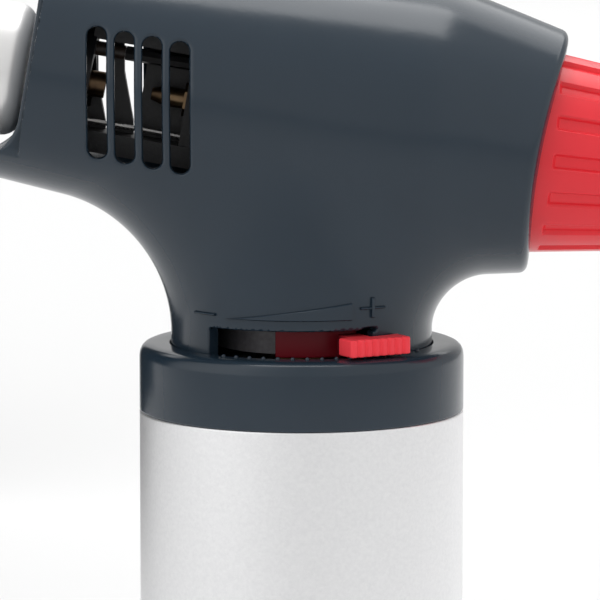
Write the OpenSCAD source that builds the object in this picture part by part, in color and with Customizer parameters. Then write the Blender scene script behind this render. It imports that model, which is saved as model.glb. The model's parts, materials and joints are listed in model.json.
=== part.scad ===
// Hand-held butane torch: a round aluminium fuel tank on a foot, a collar, and a moulded head with a
// burner in front and a push-button trigger behind. Millimetres, +Z up, origin at the centre of the
// foot's resting face. The burner points to -X and the trigger to +X.

/* [Tank] */
// Outer diameter of the fuel tank
tank_d = 50; // [50:1:54]
// Height of the tank's top edge above the bench
tank_top_z = 92; // [80:1:120]
// Thickness of the tank's wall
tank_wall = 1.2; // [1:0.1:1.5]

/* [Foot] */
// Diameter of the foot where it rests
foot_d = 68; // [64:1:80]
// Height of the foot
foot_h = 14; // [13:0.5:16]

/* [Collar] */
// Height of the collar ring between tank and head
collar_h = 10.4; // [10:0.2:12]
// Radius of the collar's rounded upper edge
collar_round = 3; // [1:0.5:4]
// Turn between two detent beads, in degrees
bead_step = 6.1; // [5:0.1:8]

/* [Head] */
// Tilt of the barrel, burner end up, in degrees
barrel_tilt = 10; // [8:0.5:12]
// Height of the barrel's axis above the collar's top face
barrel_rise = 35.8; // [35:0.1:37]
// Diameter of the neck that joins the barrel to the collar
neck_d = 40.2; // [40:0.1:40.4]
// Thickness of the head's moulded walls
wall = 2.2; // [2:0.1:2.4]
// Fillet radius on the burner side of the neck
fillet_front = 20; // [16:0.5:22]
// Fillet radius on the trigger side of the neck
fillet_rear = 7; // [5:0.5:10]

/* [Vents] */
// Number of vertical vent slots in each side of the head
vent_count = 4; // [2:1:4]
// Width of a vent slot
vent_w = 2.9; // [2:0.1:3]
// Height of a vent slot
vent_h = 19.8; // [14:0.2:20]

/* [Controls] */
// Diameter of the trigger button where it leaves the head
trigger_d = 30.8; // [29:0.1:31]
// Width of the flame lever's tab
tab_w = 10.4; // [8:0.2:11]

/* [Burner] */
// Outer diameter of the burner tube
burner_d = 20.4; // [18:0.2:21]
// Length of the burner tube in front of the head
burner_len = 40; // [34:1:50]

/* [Hidden] */
$fn = 64;

slate = [0.21, 0.25, 0.29];
black = [0.07, 0.07, 0.08];
red = [0.85, 0.16, 0.20];
steel = [0.78, 0.78, 0.80];
brass = [0.80, 0.62, 0.32];

tank_r = tank_d / 2;
tank_in = tank_r - tank_wall;
cap_r = tank_in - 0.05;
tank_low = foot_h - 3.8;
neck_z = tank_top_z + collar_h;
neck_r = neck_d / 2;
neck_in = neck_r - wall + 0.1;
collar_in = neck_r + 0.2;
barrel_z = neck_z + barrel_rise;

// Barrel outline: two straight tapers that meet in a soft crest
rim_front = -41.8;
rim_rear = 38.2;
front_r = 18.45;
rear_r = 18.75;
front_taper = 0.075;
rear_taper = 0.22;
crest = 0.5;
seam = 0.04;

// Ends of the solid that the head is cut from
blank_front = -58;
blank_rear = 46;
blank_low = neck_z - 18;
ray_z = barrel_z - 10;

chin_z = -15.8;
chin_arc = 8.3;
chin_tip = -54;
rear_lip = 4.6;
rim_dip = 2.5;
trigger_hole = trigger_d / 2 + 0.4;

// Burner line, parallel to the barrel's axis and a little below it
burner_drop = 1.6;
burner_r = burner_d / 2;
burner_shoulder = 3;
burner_back = -42;
burner_front = burner_back - burner_len;
burner_sheet = 0.7;
burner_neck_r = 7.5;
mixing_r = 4.2;
electrode_off = 5.45;

// Vent slots stand upright in a row that follows the barrel's tilt
vent_pitch = 4.13;
vent_x = -30.47;
vent_z = barrel_z + 3.75;

// Lever slot and lever, as angles round the neck from its near side (-Y) towards the trigger
slot_h = 4;
slot_from = -44;
slot_to = 32.6;
tab_at = 30.5;
arm_at = 25.5;
skirt_from = -14;
skirt_r = 16.4;
lever_low = neck_z + 0.45;
lever_top = neck_z + 3.1;
tab_out = neck_r + 3.5;
adjuster_r = 7.1;
drum_r = 13;
drum_from = -100;
drum_to = 8;

// Gas valve on the tank's axis
valve_r = 4.5;
chamber_r = 3.2;
stem_r = 1.9;
valve_low = tank_top_z - 8;
valve_top = neck_z + 5.6;
nut_top = valve_top + 2.5;
rocker_x = 9;
rocker_z = neck_z + 14.5;
flange_z = rocker_z + 1.05;
hose_z = rocker_z + 4;

// Piezo igniter on the barrel's axis, as distances along it
piezo_front = 5;
piezo_back = 32;
piezo_r = 5.2;
plunger_r = 3.6;
plunger_in = 22;
plunger_out = 41;
trigger_end = 61;

boss_r = 2.5;
// Screw places: distance along X and height above the collar's top face
screws = [[-27.2, 54.3], [16.7, 50.1], [-14.5, 10.8]];
screw_seat = 8.5;

// ---------------------------------------------------------------- helpers

module on_barrel() {
    translate([0, 0, barrel_z]) rotate([0, barrel_tilt, 0]) children();
}

// Turns a shape made round +Z so that it runs along the barrel from distance s on
module along(s, drop = 0) {
    on_barrel() translate([s, 0, -drop]) rotate([0, 90, 0]) children();
}

module pipe(r_out, r_in, h) {
    difference() {
        cylinder(r = r_out, h = h);
        translate([0, 0, -1]) cylinder(r = r_in, h = h + 2);
    }
}

// Pie slice from angle a to angle b, counted from -Y towards +X
module slice(a, b, r, h) {
    rotate([0, 0, a - 90]) rotate_extrude(angle = b - a) square([r, h]);
}

// A straight rod between two points
module rod(p, q, r) {
    d = q - p;
    translate(p) rotate([0, acos(d.z / norm(d)), atan2(d.y, d.x)]) cylinder(r = r, h = norm(d));
}

function unit(v) = v / norm(v);
function bezier(p, t) =
    pow(1 - t, 3) * p[0] + 3 * t * pow(1 - t, 2) * p[1] + 3 * t * t * (1 - t) * p[2] + pow(t, 3) * p[3];
function world(s, y, up) = [
    s * cos(barrel_tilt) + up * sin(barrel_tilt), y, barrel_z - s * sin(barrel_tilt) + up * cos(barrel_tilt)];

// Corner points of the rings of a rod bent along points that never run parallel to Y; r holds the first
// radii, and its last one goes on to the end.
function rings(points, r, sides) =
    let (last = len(points) - 1)
    [for (i = [0:last])
        let (t = unit(points[min(i + 1, last)] - points[max(i - 1, 0)]),
             u = unit(cross(t, [0, 1, 0])), v = cross(t, u), size = r[min(i, len(r) - 1)])
        for (k = [0:sides - 1]) points[i] + size * (cos(360 * k / sides) * u + sin(360 * k / sides) * v)];

// Triangles between neighbouring rings, each as three corner numbers.
function skin(last, sides) =
    [for (i = [0:last - 1], k = [0:sides - 1])
        let (a = i * sides + k, b = i * sides + (k + 1) % sides)
        each [[a, b, a + sides], [b, b + sides, a + sides]]];

// A bent solid rod.
module wire(points, r, sides = 8) {
    last = len(points) - 1;
    front = [for (k = [sides - 1:-1:0]) k];
    back = [for (k = [0:sides - 1]) last * sides + k];
    polyhedron(rings(points, [r], sides), concat([front], skin(last, sides), [back]));
}

// A bent tube, with a list of outer and inner radii that follow its first points.
module hose(points, outer, inner, sides) {
    last = len(points) - 1;
    count = len(points) * sides;
    bore = [for (f = skin(last, sides)) [f[0] + count, f[2] + count, f[1] + count]];
    front = [for (k = [0:sides - 1]) let (n = (k + 1) % sides) [n, k, k + count, n + count]];
    back = [for (k = [0:sides - 1])
        let (a = last * sides + k, b = last * sides + (k + 1) % sides) [a, b, b + count, a + count]];
    polyhedron(concat(rings(points, outer, sides), rings(points, inner, sides)),
               concat(skin(last, sides), bore, front, back));
}

// ---------------------------------------------------------------- head form

// The head is the barrel and the neck joined by a rolling-ball fillet. Below, a value under zero
// is inside. grow moves the surface outwards, so a negative grow gives the inner side of the wall.

function barrel_r(s) =
    let (a = front_r + front_taper * (s + 42), b = rear_r + rear_taper * (rim_rear - s))
    (a + b) / 2 - sqrt(pow((a - b) / 2, 2) + crest * crest);
function fillet(x) =
    (fillet_front + fillet_rear) / 2 - (fillet_front - fillet_rear) / 2 * max(-1, min(1, x / neck_r));
function ball(a, b, k, r) =
    let (u = a - r, v = b - r)
    (k < 0.999 && u - k * v < 0 && v - k * u < 0)
        ? r - sqrt((u * u + v * v - 2 * k * u * v) / (1 - k * k))
        : min(a, b);
function head_value(p, grow) =
    let (z = p.z - barrel_z,
         s = p.x * cos(barrel_tilt) - z * sin(barrel_tilt),
         up = p.x * sin(barrel_tilt) + z * cos(barrel_tilt),
         h = norm([p.y, up]), m = norm([p.x, p.y]),
         a = h - barrel_r(s) - grow, b = m - neck_r - grow)
    (s < blank_front || s > blank_rear || p.z < blank_low) ? 1
    : up > 0 ? a
    : ball(a, b, (up * sin(barrel_tilt) * p.x + p.y * p.y) / (h * m + 0.001), fillet(p.x) - grow);

ray_o = [0, 0, ray_z];
function ray(around, aside) = [cos(aside) * cos(around), -sin(aside), cos(aside) * sin(around)];
function reach(d, grow, low = 0, high = 90, steps = 16) =
    let (mid = (low + high) / 2)
    steps == 0 ? mid
    : head_value(ray_o + mid * d, grow) < 0 ? reach(d, grow, mid, high, steps - 1)
    : reach(d, grow, low, mid, steps - 1);

// Half of the head's solid, on the -Y side, from the angle lean past the middle plane. The grid
// starts phase of a step round, so that the edges of two such solids never line up.
module head_half(grow, lean, n_round, n_side, phase) {
    skin = [for (j = [0:n_side - 1], i = [0:n_round - 1])
        let (d = ray(360 * (i + phase) / n_round, (90 + lean) * j / n_side - lean))
        ray_o + d * reach(d, grow)];
    pole = ray_o + [0, -reach([0, -1, 0], grow), 0];
    hub = ray_o + [3 * phase, lean == 0 ? 0 : 2.5, 2 * phase];
    top = (n_side - 1) * n_round;
    sides = [for (j = [0:n_side - 2], i = [0:n_round - 1])
        let (a = j * n_round + i, b = j * n_round + (i + 1) % n_round)
        each [[b, a, a + n_round], [b + n_round, b, a + n_round]]];
    pole_fan = [for (i = [0:n_round - 1]) [top + (i + 1) % n_round, top + i, len(skin)]];
    hub_fan = [for (i = [0:n_round - 1]) [i, (i + 1) % n_round, len(skin) + 1]];
    polyhedron(concat(skin, [pole, hub]), concat(sides, pole_fan, hub_fan));
}

// Screw bosses, saddle ribs for the igniter, the plate round the burner and the lip round the trigger
module head_inside() {
    for (p = screws)
        translate([p.x, 1, neck_z + p.y]) rotate([90, 0, 0]) cylinder(r = boss_r, h = 30);
    intersection() {
        for (s = [9, 17]) along(s) pipe(26, piezo_r + 0.05, 1.8);
        on_barrel() translate([0, -30, -7]) cube([30, 60, 40]);
    }
    along(rim_front - 1) difference() {
        cylinder(r = 24, h = 3);
        translate([burner_drop, 0, -1]) cylinder(r = burner_neck_r + 0.4, h = 5);
    }
    along(rim_rear - rear_lip) pipe(24, trigger_hole, rear_lip + 1);
}

// Removes what lies in front of the rim, down to the chin that reaches forward under the burner
module front_cut() {
    arc = [for (a = [0:10:90]) [rim_front - chin_arc + chin_arc * cos(a), chin_z + chin_arc - chin_arc * sin(a)]];
    on_barrel() rotate([90, 0, 0]) translate([0, 0, -40]) linear_extrude(80)
        polygon(concat([[-80, -40], [chin_tip, -40], [chin_tip, chin_z]], [for (i = [9:-1:0]) arc[i]],
                       [[rim_front, 40], [-80, 40]]));
}

// Removes what lies behind the rear rim, whose edge dips forward on both sides
module rear_cut() {
    on_barrel() translate([0, 0, -40]) linear_extrude(80)
        polygon(concat([[rim_rear + 25, -30]],
            [for (y = [-30:2.5:30]) [rim_rear - rim_dip * pow(y / front_r, 2), y]], [[rim_rear + 25, 30]]));
}

module vents() {
    for (i = [0:vent_count - 1])
        translate([vent_x + i * vent_pitch, 0, vent_z - i * vent_pitch * tan(barrel_tilt)])
            rotate([90, 0, 0]) {
                translate([-vent_w / 2, -(vent_h - vent_w) / 2, -30]) cube([vent_w, vent_h - vent_w, 60]);
                for (side = [-1, 1])
                    translate([0, side * (vent_h - vent_w) / 2, -30]) cylinder(d = vent_w, h = 60, $fn = 32);
            }
}

module lever_slot() {
    translate([0, 0, neck_z - 0.6]) difference() {
        slice(slot_from, slot_to, 30, slot_h + 0.6);
        translate([0, 0, -1]) cylinder(r = neck_in - 3, h = slot_h + 3);
    }
}

module head_side() {
    difference() {
        head_half(0, 0, 60, 13, 0.23);
        difference() {
            head_half(-wall, 12, 44, 10, 0.61);
            head_inside();
        }
        front_cut();
        rear_cut();
        translate([-40, -40, blank_low - 5]) cube([80, 80, tank_top_z + 0.6 - blank_low + 5]);
        vents();
        for (p = screws)
            translate([p.x, 1, neck_z + p.y]) rotate([90, 0, 0]) cylinder(r = 1.1, h = screw_seat + 1.5);
    }
}

// ---------------------------------------------------------------- tank and foot

module base_foot() {
    color(slate) rotate_extrude() polygon([
        [26, 0], [foot_d / 2 - 0.6, 0], [foot_d / 2, 0.6], [foot_d / 2, 3], [foot_d / 2 - 1.2, 5.4],
        [tank_r + 3.2, foot_h - 1.2], [tank_r + 2, foot_h], [tank_r + 0.15, foot_h],
        [tank_r + 0.15, tank_low], [9, tank_low], [9, tank_low - 3], [24.5, tank_low - 3], [26, tank_low - 5]]);
}

module tank_shell() {
    color(steel) difference() {
        translate([0, 0, tank_low]) cylinder(r = tank_r, h = tank_top_z - tank_low, $fn = 96);
        translate([0, 0, tank_low - 1]) cylinder(r = tank_in, h = tank_top_z - tank_low + 2, $fn = 96);
    }
}

module tank_bottom_cap() {
    color(steel) difference() {
        union() {
            translate([0, 0, tank_low + 0.6]) cylinder(r = cap_r, h = 6);
            translate([0, 0, tank_low + 0.6]) cylinder(r = 7, h = 14);
        }
        translate([0, 0, tank_low + 2.6]) pipe(cap_r + 1, cap_r - 1.65, 2);
        translate([0, 0, tank_low - 1]) cylinder(r = 4, h = 20);
    }
}

module seal_ring(z) {
    color(black) translate([0, 0, z]) rotate_extrude() translate([cap_r - 0.8, 0]) circle(r = 0.75, $fn = 24);
}

module tank_bottom_seal() {
    seal_ring(tank_low + 3.6);
}

module tank_top_seal() {
    seal_ring(tank_top_z - 4);
}

module tank_top_cap() {
    color(steel) difference() {
        union() {
            translate([0, 0, tank_top_z - 7.4]) cylinder(r = cap_r, h = 7.4);
            translate([0, 0, tank_top_z - 0.1]) cylinder(r = neck_in - 1.8, h = 7);
        }
        translate([0, 0, tank_top_z - 5]) pipe(cap_r + 1, cap_r - 1.65, 2);
        translate([0, 0, tank_top_z - 10]) cylinder(r = 5, h = 20);
    }
}

module wick_tube() {
    color("white") translate([0, 0, tank_low + 18]) pipe(1.7, 1.1, valve_low - tank_low - 19);
}

// ---------------------------------------------------------------- refill valve

refill_z = foot_h - 5;

module refill_valve_body() {
    color(brass) translate([0, 0, refill_z]) difference() {
        union() {
            cylinder(r = 5.4, h = 1.7);
            cylinder(r = 3.95, h = 15);
        }
        translate([0, 0, -1]) cylinder(r = 2.25, h = 4.5);
        cylinder(r = 1.3, h = 6);
        translate([0, 0, 5]) cylinder(r = 3, h = 8.8);
        translate([0, 0, 13]) cylinder(r = 1.3, h = 3);
    }
}

module refill_stem() {
    color(brass) translate([0, 0, refill_z]) {
        translate([0, 0, 3.7]) cylinder(r = 1.22, h = 8.2);
        translate([0, 0, 6]) cylinder(r = 2.6, h = 1.6);
    }
}

module refill_seal() {
    color(black) translate([0, 0, refill_z + 5.05]) pipe(2.6, 1.22, 0.95);
}

module refill_spring() {
    color(steel) translate([0, 0, refill_z + 7.65]) pipe(2.5, 1.5, 6.1);
}

// ---------------------------------------------------------------- collar and shells

module collar_ring() {
    color(slate) {
        translate([0, 0, tank_top_z]) rotate_extrude($fn = 96) difference() {
            union() {
                translate([collar_in, 0]) square([tank_r - collar_in - 0.4, collar_h - collar_round]);
                translate([collar_in, 0.4]) square([tank_r - collar_in, collar_h - collar_round - 0.4]);
                translate([collar_in, 1]) square([tank_r - collar_round - collar_in, collar_h - 1]);
                translate([tank_r - collar_round, collar_h - collar_round]) circle(r = collar_round);
            }
            translate([0, -1]) square([collar_in, collar_h + 2]);
        }
        for (i = [-6:9])
            rotate([0, 0, i * bead_step + 2.4]) translate([0, -collar_in - 0.5, neck_z])
                sphere(r = 0.35, $fn = 24);
    }
}

module head_shell_left() {
    color(slate) translate([0, -seam, 0]) difference() {
        head_side();
        lever_slot();
    }
}

module head_shell_right() {
    color(slate) translate([0, seam, 0]) difference() {
        mirror([0, 1, 0]) head_side();
        for (p = screws)
            translate([p.x, screw_seat + 20, neck_z + p.y]) rotate([90, 0, 0]) cylinder(r = 3, h = 20);
    }
}

module shell_screws() {
    color(steel) for (p = screws)
        translate([p.x, screw_seat + 1.9, neck_z + p.y]) rotate([90, 0, 0]) difference() {
            union() {
                cylinder(r = 2.6, h = 1.8);
                cylinder(r = 1.05, h = 14);
            }
            for (turn = [0, 90])
                rotate([0, 0, turn]) translate([-1.6, -0.35, -1]) cube([3.2, 0.7, 1.9]);
        }
}

// ---------------------------------------------------------------- burner

module burner_tube() {
    back = burner_back - burner_shoulder;
    mid_r = burner_r - burner_shoulder;
    lift = asin((burner_neck_r - mid_r) / burner_shoulder);
    thin = burner_shoulder - burner_sheet;
    neck_s = back + burner_shoulder * cos(lift);
    outer = [for (a = [90:-5:lift]) [mid_r + burner_shoulder * sin(a), back + burner_shoulder * cos(a)]];
    inner = [for (a = [lift:5:90]) [mid_r + thin * sin(a), back + thin * cos(a)]];
    lip = [for (a = [180:-20:0]) [burner_r - 0.7 + 0.7 * cos(a), burner_front + 0.7 - 0.7 * sin(a)]];
    color(steel) difference() {
        along(0, burner_drop) rotate_extrude($fn = 96) polygon(concat(
            [[burner_r - burner_sheet, burner_front + 1.6]], lip,
            outer, [[burner_neck_r, neck_s], [burner_neck_r, -36], [mixing_r + 0.05, -36],
            [mixing_r + 0.05, -36.8], [burner_neck_r - burner_sheet, -36.8]], inner));
        along(-38, burner_drop - electrode_off) cylinder(r = 1.15, h = 3);
    }
}

module mixing_tube() {
    color(brass) {
        along(-59.8, burner_drop) pipe(mixing_r, mixing_r - 0.8, 25.8);
        along(-34.2, burner_drop) pipe(mixing_r, 1.2, 1.2);
        along(-33.1, burner_drop) pipe(2, 1.2, 2.9);
    }
}

module flame_holder() {
    color(steel) along(-61, burner_drop) difference() {
        cylinder(r = 7.2, h = 5);
        translate([0, 0, 1.2]) cylinder(r = mixing_r + 0.05, h = 5);
        translate([0, 0, -1]) cylinder(r = 1.1, h = 3);
        for (a = [0:45:315])
            rotate([0, 0, a]) translate([2.7, 0, -1]) cylinder(r = 0.75, h = 3, $fn = 16);
        for (a = [22.5:45:360])
            rotate([0, 0, a]) translate([5.7, 0, -1]) cylinder(r = 0.6, h = 7, $fn = 16);
        translate([-electrode_off, 0, -1]) cylinder(r = 0.75, h = 7, $fn = 16);
    }
}

// Upright rib of the jet holder, with a sloping edge that narrows the air gap towards its foot
module air_rib(back, edge) {
    translate([0, 5, barrel_z]) rotate([90, 0, 0]) linear_extrude(3) polygon([
        [back, -5.6], [edge + 1.35, -5.6], [edge + 1.3, -2], [edge, 5.6], [edge, 10.6], [back, 10.6]]);
}

module gas_jet() {
    color(brass) along(-23, burner_drop) difference() {
        union() {
            cylinder(r1 = 0.9, r2 = 1.5, h = 2);
            translate([0, 0, 2]) cylinder(r = 1.5, h = 5);
            translate([0, 0, 5]) cylinder(r = 2.6, h = 3, $fn = 6);
            translate([0, 0, 8]) cylinder(r = 1.3, h = 3);
        }
        translate([0, 0, -1]) cylinder(r = 0.4, h = 5);
        translate([0, 0, 3]) cylinder(r = 0.9, h = 9);
    }
}

module jet_holder() {
    color(black) difference() {
        union() {
            along(-38.5, burner_drop) cylinder(r = 9, h = 6);
            on_barrel() translate([-33, -5, 5.6]) cube([19, 10, 2.9]);
            on_barrel() translate([-33, -5, -11.6]) cube([19, 10, 3.2]);
            on_barrel() translate([-24.5, 2.7, -9]) cube([10.5, 2.3, 15.5]);
            on_barrel() translate([-17.6, -4, -9]) cube([3.2, 8, 15.5]);
            air_rib(-33, -31.5);
            air_rib(-29.4, -27.2);
        }
        along(-39, burner_drop) cylinder(r = burner_neck_r + 0.05, h = 3.1);
        along(-37, burner_drop) cylinder(r = mixing_r + 0.05, h = 5);
        along(-40, burner_drop - electrode_off) cylinder(r = 1.15, h = 30);
        along(-20, burner_drop - electrode_off) cylinder(r = 1.9, h = 8);
        on_barrel() translate([-20, -2.1, -8.1]) cube([8, 1.2, 1.6]);
        along(-18.5, burner_drop) cylinder(r = 2.65, h = 6);
    }
}

// Hose that rises from the valve, bends towards the burner and ends on the jet's tail
module gas_tube() {
    bend = 8;
    turn = 90 - barrel_tilt;
    end = world(-11.9, 0, -burner_drop);
    run = (-end.x - bend * (1 - cos(turn))) / sin(turn);
    bend_z = end.z - bend * sin(turn) - run * cos(turn);
    boot = [for (z = [0, 4, 5]) [0, 0, hose_z + z]];
    arc = [for (i = [0:6]) [bend * cos(turn * i / 6) - bend, 0, bend_z + bend * sin(turn * i / 6)]];
    color([0.80, 0.72, 0.62])
        hose(concat(boot, arc, [end]), [2.4, 2.4, 1.6], [1.55, 1.55, 0.9], 16);
}

// ---------------------------------------------------------------- ignition

module electrode_insulator() {
    color("white") along(-52, burner_drop - electrode_off) pipe(1.1, 0.52, 24);
}

module spark_electrode() {
    up = electrode_off - burner_drop;
    color(steel) {
        rod(world(-62.5, 0, up), world(-28, 0, up), 0.5);
        rod(world(-62.5, 0, up + 0.4), world(-62.5, 0, up - 2.6), 0.5);
    }
}

module ignition_wire() {
    route = [world(-27.9, 0, 3.85), world(-18, -1, 3.9), world(-6, 1.5, 5), world(4.4, 0, 1)];
    color(black) wire([for (i = [0:14]) bezier(route, i / 14)], 1.1);
}

module earth_wire() {
    route = [world(-13, -1.5, -7.4), world(-4, -1.5, -7.4), world(-1, -2.5, -7), world(4.7, -2, -2.6)];
    color(steel) wire(concat([world(-32.4, -1.5, -7.2), world(-22, -1.5, -7.2)],
                             [for (i = [0:8]) bezier(route, i / 8)]), 0.4);
}

module piezo_case() {
    color(black) along(piezo_front) difference() {
        cylinder(r = piezo_r, h = piezo_back - piezo_front);
        translate([0, 0, 1.4]) cylinder(r = 2.9, h = 5);
        translate([0, 0, 5]) cylinder(r = plunger_r + 0.08, h = 40);
    }
}

module piezo_crystal() {
    color("tan") along(piezo_front + 1.4) cylinder(r = 2.8, h = 3.6);
}

module piezo_spring() {
    color(steel) along(piezo_front + 5.1) pipe(3.2, 2.4, plunger_in - piezo_front - 5.2);
}

module piezo_plunger() {
    color("ivory") along(plunger_in) difference() {
        cylinder(r = plunger_r, h = plunger_out - plunger_in);
        translate([0, 0, -1]) cylinder(r = 2, h = 4);
    }
}

// ---------------------------------------------------------------- trigger

// Shallow lengthwise grooves round the part of the button that the thumb meets
module trigger_grooves() {
    for (a = [0:22.5:337.5])
        along(rim_rear) rotate([0, -3.5, 0]) rotate([0, 0, a + 11.25])
            translate([trigger_d / 2 - 0.9, -0.95, 0.2]) rotate([0, -7.2, 0]) cube([4, 1.9, 30]);
}

module trigger_button() {
    grip = trigger_end - rim_rear;
    small_r = trigger_d / 2 - grip * tan(7.2);
    color(red) difference() {
        union() {
            along(30) cylinder(r = trigger_d / 2, h = rim_rear - 31);
            along(rim_rear - rear_lip - 2.3) cylinder(r = trigger_d / 2 + 1.2, h = 2.2);
            difference() {
                along(rim_rear) rotate([0, -3.5, 0]) rotate_extrude($fn = 96) polygon(concat(
                    [[0, -2], [trigger_d / 2 - 0.2, -2], [trigger_d / 2 - 0.05, 0], [small_r + 0.2, grip - 3]],
                    [for (a = [0:15:90]) [small_r - 1.8 + 1.8 * cos(a), grip - 2.6 + 1.6 * sin(a)]],
                    [[0, grip - 0.4]]));
                trigger_grooves();
            }
            ramp();
        }
        difference() {
            along(28) cylinder(r1 = trigger_d / 2 - 1.8, r2 = small_r - 2, h = trigger_end - 31);
            along(plunger_out) cylinder(r = 4.6, h = 30);
            ramp();
        }
    }
}

// Arm under the igniter whose sloping lower face presses the valve rocker down
module ramp() {
    translate([0, 2.5, 0]) rotate([90, 0, 0]) linear_extrude(5) polygon([
        [14.5, rocker_z + 1.9], [23, rocker_z - 0.83], [31, rocker_z + 0.6], [33.5, rocker_z + 3.4],
        [23, rocker_z + 3.5], [14.5, rocker_z + 4.4]]);
}

// ---------------------------------------------------------------- gas valve

module valve_body() {
    color(brass) difference() {
        union() {
            translate([0, 0, valve_low - 5]) cylinder(r = 1.05, h = 6);
            translate([0, 0, valve_low]) cylinder(r = 4.95, h = tank_top_z + 6.9 - valve_low);
            translate([0, 0, tank_top_z]) cylinder(r = valve_r, h = valve_top - tank_top_z);
            translate([0, 0, tank_top_z + 6.9]) cylinder(r = 7, h = 2, $fn = 6);
        }
        translate([0, 0, valve_low - 6]) cylinder(r = 0.6, h = 9);
        translate([0, 0, valve_low + 2]) cylinder(r = chamber_r, h = valve_top);
    }
}

module valve_nut() {
    color(steel) difference() {
        union() {
            translate([0, 0, valve_top - 2.6]) cylinder(r = chamber_r - 0.02, h = 3);
            translate([0, 0, valve_top]) cylinder(r = 5.6, h = nut_top - valve_top, $fn = 6);
        }
        translate([0, 0, valve_top - 3]) cylinder(r = stem_r + 0.06, h = 8);
    }
}

module valve_stem() {
    color(brass) difference() {
        union() {
            translate([0, 0, valve_low + 3.5]) cylinder(r = stem_r, h = flange_z + 1.4 - valve_low - 3.5);
            translate([0, 0, valve_low + 3]) cylinder(r = 2.8, h = 1.8);
            translate([0, 0, flange_z]) cylinder(r = 3.4, h = 0.9);
            translate([0, 0, flange_z + 1]) cylinder(r = 1.4, h = 4.4);
        }
        translate([0, 0, valve_low + 12]) cylinder(r = 0.6, h = 60);
    }
}

module valve_seal() {
    color(black) translate([0, 0, valve_low + 2.05]) cylinder(r = 2.4, h = 0.95);
}

module valve_spring() {
    color(steel) translate([0, 0, valve_low + 4.85]) pipe(2.9, 2.1, valve_top - 2.7 - valve_low - 4.85);
}

module rocker_bracket() {
    color(steel) difference() {
        union() {
            translate([-6, -6.8, nut_top + 0.05]) cube([20, 13.6, 1]);
            for (side = [-1, 1]) {
                translate([4, side * 6.2 - 0.6, nut_top + 0.05]) cube([10, 1.2, rocker_z - nut_top]);
                translate([rocker_x, side * 6.2 + 0.6, rocker_z]) rotate([90, 0, 0]) cylinder(r = 3, h = 1.2);
            }
        }
        translate([0, 0, nut_top - 1]) cylinder(r = 2.6, h = 4);
        translate([rocker_x, 10, rocker_z]) rotate([90, 0, 0]) cylinder(r = 1.02, h = 20);
    }
}

module rocker_pin() {
    color(steel) translate([rocker_x, 7.3, rocker_z]) rotate([90, 0, 0]) cylinder(r = 1, h = 14.6);
}

module valve_rocker() {
    color(black) difference() {
        union() {
            translate([rocker_x, 5.3, rocker_z]) rotate([90, 0, 0]) cylinder(r = 2.3, h = 10.6);
            for (side = [-1, 1])
                translate([-3, side * 3.6 - 1.2, rocker_z - 0.7]) cube([rocker_x + 3, 2.4, 1.3]);
            translate([rocker_x, -3, rocker_z - 0.7]) cube([7.2, 6, 1.3]);
            translate([16, 3, rocker_z + 0.1]) rotate([90, 0, 0]) cylinder(r = 1, h = 6);
        }
        translate([rocker_x, 10, rocker_z]) rotate([90, 0, 0]) cylinder(r = 1.06, h = 20);
    }
}

module flow_adjuster() {
    teeth = [for (a = [0:7.5:352.5], t = [0, 4])
        (a % 15 == 0 ? adjuster_r : adjuster_r - 0.5) * [cos(a + t), sin(a + t)]];
    color(black) difference() {
        union() {
            translate([0, 0, lever_low]) linear_extrude(lever_top + 0.5 - lever_low) polygon(teeth);
            translate([0, 0, lever_top + 0.1]) cylinder(r = drum_r - 1, h = 0.8);
            translate([0, 0, neck_z - 0.3]) difference() {
                slice(drum_from, drum_to, drum_r, slot_h + 0.2);
                translate([0, 0, -1]) cylinder(r = drum_r - 1.6, h = 8);
            }
        }
        translate([0, 0, lever_low - 1]) cylinder(r = valve_r + 0.08, h = 8);
    }
}

module flame_lever() {
    color(red) {
        difference() {
            union() {
                translate([0, 0, lever_low]) cylinder(r = 9.6, h = lever_top - lever_low);
                rotate([0, 0, arm_at - 90]) translate([8, -1.7, lever_low])
                    cube([neck_r - 6.6, 3.4, lever_top - lever_low - 0.2]);
                translate([0, 0, neck_z - 0.4]) difference() {
                    slice(skirt_from, tab_at, skirt_r, slot_h + 0.25);
                    translate([0, 0, -1]) cylinder(r = skirt_r - 1.5, h = 8);
                }
            }
            translate([0, 0, lever_low - 1]) cylinder(r = 7.15, h = 8);
        }
        lever_tab();
    }
}

// Outer tab with upright grip ribs
module lever_tab() {
    difference() {
        rotate([0, 0, tab_at - 90]) translate([neck_r - 3, -tab_w / 2, lever_low])
            cube([tab_out - neck_r + 3, tab_w, lever_top - lever_low]);
        translate([0, 0, lever_low - 1]) cylinder(r = neck_r + 0.35, h = 6);
        for (i = [-3:3])
            rotate([0, 0, tab_at - 90]) translate([tab_out - 0.4, i * 1.3 - 0.3, lever_low - 1])
                cube([1, 0.6, 6]);
    }
}

base_foot();
tank_shell();
tank_top_cap();
tank_top_seal();
tank_bottom_cap();
tank_bottom_seal();
wick_tube();
refill_valve_body();
refill_stem();
refill_seal();
refill_spring();
collar_ring();
head_shell_left();
head_shell_right();
shell_screws();
burner_tube();
mixing_tube();
flame_holder();
gas_jet();
jet_holder();
gas_tube();
electrode_insulator();
spark_electrode();
ignition_wire();
earth_wire();
piezo_case();
piezo_crystal();
piezo_plunger();
piezo_spring();
trigger_button();
valve_body();
valve_stem();
valve_seal();
valve_spring();
valve_nut();
rocker_bracket();
valve_rocker();
rocker_pin();
flow_adjuster();
flame_lever();
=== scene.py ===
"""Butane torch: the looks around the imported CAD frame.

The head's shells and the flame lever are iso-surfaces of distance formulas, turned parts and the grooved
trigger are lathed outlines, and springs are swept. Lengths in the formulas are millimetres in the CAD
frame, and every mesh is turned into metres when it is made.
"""
import json
import math

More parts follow.
